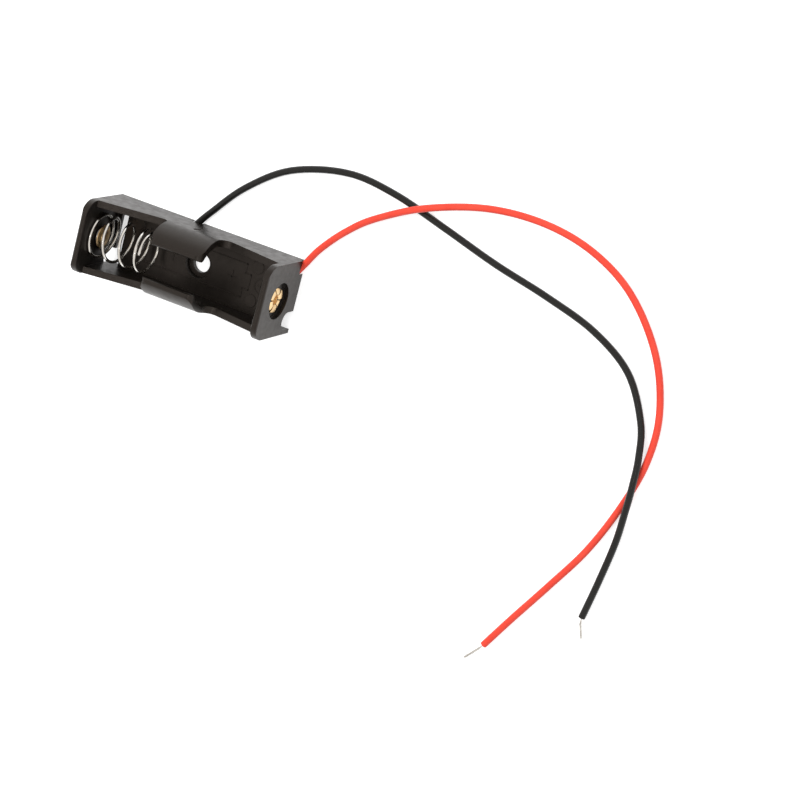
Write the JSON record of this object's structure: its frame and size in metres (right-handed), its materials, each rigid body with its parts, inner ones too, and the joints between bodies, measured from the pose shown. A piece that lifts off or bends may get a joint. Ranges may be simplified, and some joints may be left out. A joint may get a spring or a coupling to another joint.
{
  "type": "cylindrical cell holder",
  "caption": "Moulded holder for one small cylindrical cell, with clips in its side walls, a coil spring, a clinched contact at each end and two free leads.",
  "frame": {"origin": "centre of the tray's back at Z = 0, on the axis of the mounting screw's hole", "axes": "+X along the tray from the spring to the positive contact, +Z out of the tray's mouth, +Y across it"},
  "size_m": [0.1138, 0.0818, 0.0142],
  "materials": {
    "tray_plastic": "moulded, semi-gloss",
    "spring_wire": "bright nickel",
    "contact_metal": "bright",
    "tinned_strands": "tinned",
    "black_insulation": "smooth",
    "red_insulation": "smooth"
  },
  "bodies": {
    "holder": {"tray": "tray_plastic", "negative_contact": "contact_metal", "positive_contact": "contact_metal", "negative_strands": "tinned_strands", "positive_strands": "tinned_strands", "black_lead": "black_insulation", "red_lead": "red_insulation", "black_tip": "tinned_strands", "red_tip": "tinned_strands"},
    "spring_end": {"spring": "spring_wire"}
  },
  "joints": [
    {"name": "spring_press", "type": "slide", "parent": "holder", "child": "spring_end", "axis": [-1, 0, 0], "range_m": [0, 0.006], "stiffness_N_per_m": 670, "deforming": ["spring"]}
  ]
}
